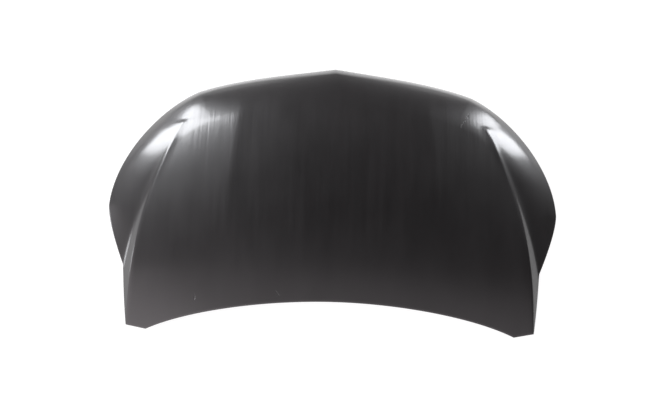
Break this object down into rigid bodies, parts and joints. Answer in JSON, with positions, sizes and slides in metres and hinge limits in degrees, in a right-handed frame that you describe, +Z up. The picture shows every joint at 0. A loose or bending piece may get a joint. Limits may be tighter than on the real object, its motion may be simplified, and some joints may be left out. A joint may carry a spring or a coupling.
{
  "type": "car bonnet",
  "caption": "Pressed steel car bonnet in satin black primer, with a pointed nose, shoulder creases and a hemmed inner frame.",
  "frame": {"origin": "centre of the bonnet's box in plan, on the ground it lies on", "axes": "+X to the car's right-hand side, +Y to the nose of the bonnet, +Z up out of the outer skin"},
  "size_m": [1.4556, 0.894, 0.1442],
  "materials": {
    "outer_paint": "satin black electrocoat primer",
    "inner_paint": "dull black electrocoat primer",
    "zinc_plate": "zinc plated",
    "mastic": "cured anti-flutter mastic"
  },
  "bodies": {
    "root": {"hinge_reinforcement_left": "inner_paint", "hinge_reinforcement_right": "inner_paint", "hinge_weld_nut_left_front": "zinc_plate", "hinge_weld_nut_left_rear": "zinc_plate", "hinge_weld_nut_right_front": "zinc_plate", "hinge_weld_nut_right_rear": "zinc_plate", "inner_frame": "inner_paint", "latch_reinforcement": "inner_paint", "mastic_pad_01": "mastic", "mastic_pad_02": "mastic", "mastic_pad_03": "mastic", "mastic_pad_04": "mastic", "mastic_pad_05": "mastic", "mastic_pad_06": "mastic", "mastic_pad_07": "mastic", "mastic_pad_08": "mastic", "mastic_pad_09": "mastic", "mastic_pad_10": "mastic", "mastic_pad_11": "mastic", "mastic_pad_12": "mastic", "mastic_pad_13": "mastic", "mastic_pad_14": "mastic", "mastic_pad_15": "mastic", "mastic_pad_16": "mastic", "mastic_pad_17": "mastic", "mastic_pad_18": "mastic", "mastic_pad_19": "mastic", "outer_panel": "outer_paint", "stay_reinforcement": "inner_paint", "striker_bolt_left": "zinc_plate", "striker_bolt_right": "zinc_plate", "striker_foot_plate": "zinc_plate", "striker_loop": "zinc_plate", "striker_weld_nut_left": "zinc_plate", "striker_weld_nut_right": "zinc_plate"}
  },
  "joints": []
}
